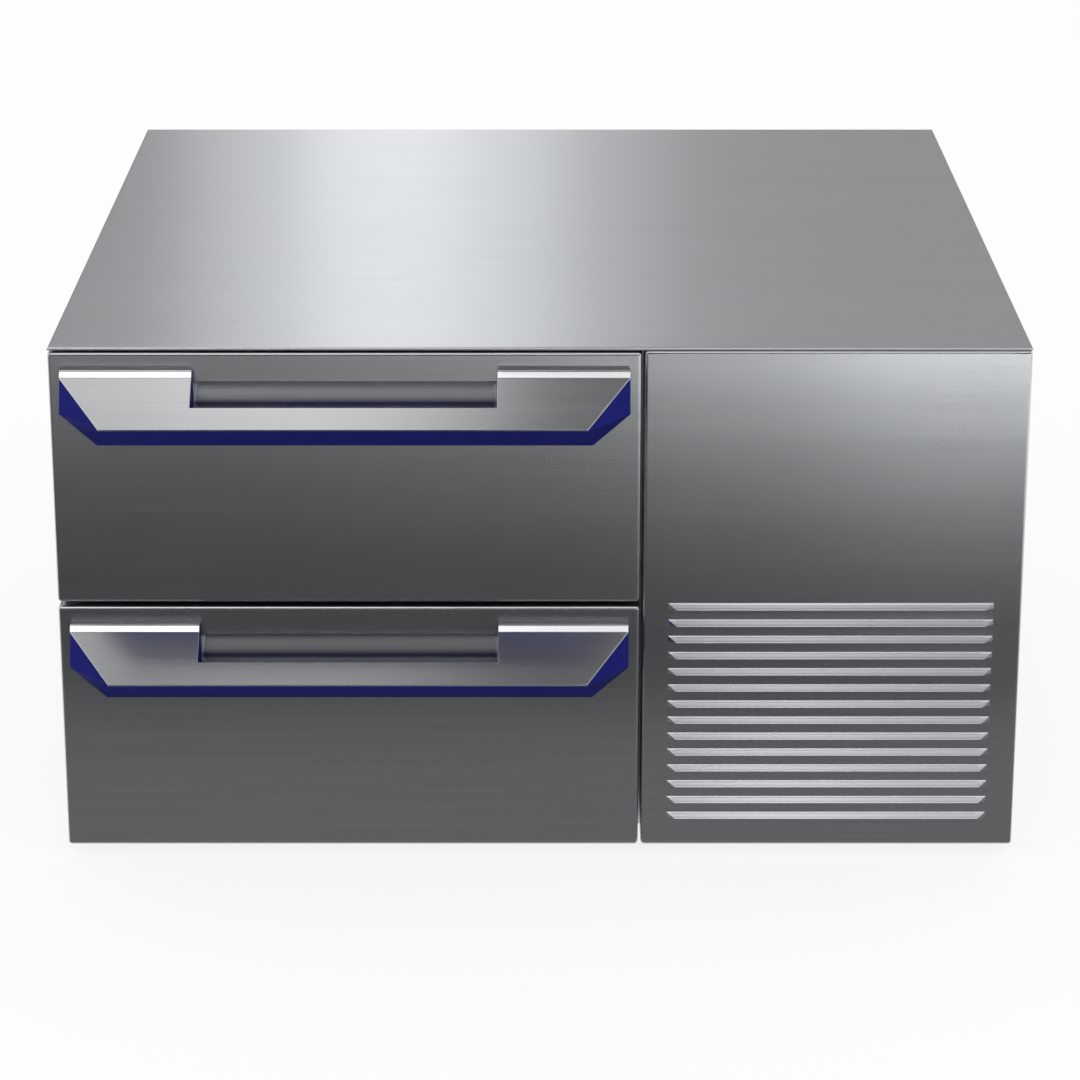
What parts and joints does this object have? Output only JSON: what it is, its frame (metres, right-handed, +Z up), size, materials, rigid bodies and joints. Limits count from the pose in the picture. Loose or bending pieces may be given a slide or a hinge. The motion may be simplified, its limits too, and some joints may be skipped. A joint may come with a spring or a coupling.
{
  "type": "undercounter drawer refrigerator",
  "caption": "Low stainless undercounter refrigerator with stacked full-overlay drawers, slanted grip handles on blue mouldings and a louvred machine bay panel beside them.",
  "frame": {"origin": "on the floor under the centre of the whole object's box", "axes": "+Z up, drawer fronts and handles face -Y, +X to the right as seen from the front"},
  "size_m": [0.8, 0.867, 0.45],
  "materials": {
    "stainless": "satin",
    "handle_steel": "satin",
    "galvanised": "satin",
    "slide_zinc": "satin",
    "navy_plastic": "satin",
    "foam": "matte",
    "gasket_rubber": "matte",
    "black_rubber": "matte",
    "black_plastic": "matte",
    "grey_plastic": "matte",
    "white_plastic": "matte",
    "fin_aluminium": "satin",
    "copper": "satin",
    "brass_pin": "polished",
    "compressor_black": "satin",
    "feet_steel": "satin",
    "circuit_green": "satin",
    "insulation_black": "matte"
  },
  "bodies": {
    "cabinet": {"top_panel": "stainless", "side_panel_left": "stainless", "side_panel_right": "stainless", "face_frame": "stainless", "divider_rail": "stainless", "back_panel": "galvanised", "rear_grille": "galvanised", "rear_screws": "feet_steel", "base_pan": "galvanised", "levelling_feet": "feet_steel", "insulation_foam": "foam", "liner": "stainless", "partition_panel": "galvanised", "evaporator_coil": "fin_aluminium", "evaporator_cover": "stainless", "evaporator_fan_guard": "feet_steel", "drip_tray": "fin_aluminium", "drain_tube": "grey_plastic", "air_probe": "white_plastic", "evaporator_fan_motor": "grey_plastic", "condenser_coil": "fin_aluminium", "condenser_shroud": "galvanised", "condenser_fan_motor": "compressor_black", "condenser_motor_bracket": "galvanised", "compressor": "compressor_black", "compressor_grommets": "black_rubber", "compressor_relay_cover": "black_plastic", "discharge_pipe": "copper", "liquid_pipe": "copper", "filter_drier": "copper", "capillary_tube": "copper", "suction_pipe": "insulation_black", "evaporation_tray": "black_plastic", "control_box": "galvanised", "controller": "circuit_green", "power_inlet": "black_plastic", "panel_catches": "black_plastic", "upper_slide_outer": "slide_zinc", "lower_slide_outer": "slide_zinc"},
    "upper_drawer": {"upper_front_skin": "stainless", "upper_front_foam": "foam", "upper_front_inner": "stainless", "upper_gasket": "gasket_rubber", "upper_handle_plate": "handle_steel", "upper_handle_moulding": "navy_plastic", "upper_tub": "stainless", "upper_slide_inner": "slide_zinc"},
    "upper_runner": {"upper_slide_middle": "slide_zinc"},
    "lower_drawer": {"lower_front_skin": "stainless", "lower_front_foam": "foam", "lower_front_inner": "stainless", "lower_gasket": "gasket_rubber", "lower_handle_plate": "handle_steel", "lower_handle_moulding": "navy_plastic", "lower_tub": "stainless", "lower_slide_inner": "slide_zinc"},
    "lower_runner": {"lower_slide_middle": "slide_zinc"},
    "service_cover": {"service_panel": "stainless"},
    "evaporator_fan": {"evaporator_fan_blade": "white_plastic"},
    "condenser_fan": {"condenser_fan_blade": "black_plastic"}
  },
  "joints": [
    {"name": "upper_drawer_slide", "type": "slide", "parent": "cabinet", "child": "upper_drawer", "axis": [0, -1, 0], "range_m": [0, 0.54]},
    {"name": "upper_runner_slide", "type": "slide", "parent": "cabinet", "child": "upper_runner", "axis": [0, -1, 0], "range_m": [0, 0.27]},
    {"name": "lower_drawer_slide", "type": "slide", "parent": "cabinet", "child": "lower_drawer", "axis": [0, -1, 0], "range_m": [0, 0.54]},
    {"name": "lower_runner_slide", "type": "slide", "parent": "cabinet", "child": "lower_runner", "axis": [0, -1, 0], "range_m": [0, 0.27]},
    {"name": "service_panel_lift_off", "type": "slide", "parent": "cabinet", "child": "service_cover", "axis": [0, -1, 0], "range_m": [0, 0.13]},
    {"name": "evaporator_fan_spin", "type": "hinge", "parent": "cabinet", "child": "evaporator_fan", "pos_m": [-0.158, 0.3, 0.3], "axis": [0, -1, 0], "continuous": true},
    {"name": "condenser_fan_spin", "type": "hinge", "parent": "cabinet", "child": "condenser_fan", "pos_m": [0.242, -0.24, 0.14], "axis": [0, -1, 0], "continuous": true}
  ],
  "couplings": [
    {"joint": "upper_runner_slide", "follows": "upper_drawer_slide", "ratio": 0.5},
    {"joint": "lower_runner_slide", "follows": "lower_drawer_slide", "ratio": 0.5}
  ]
}
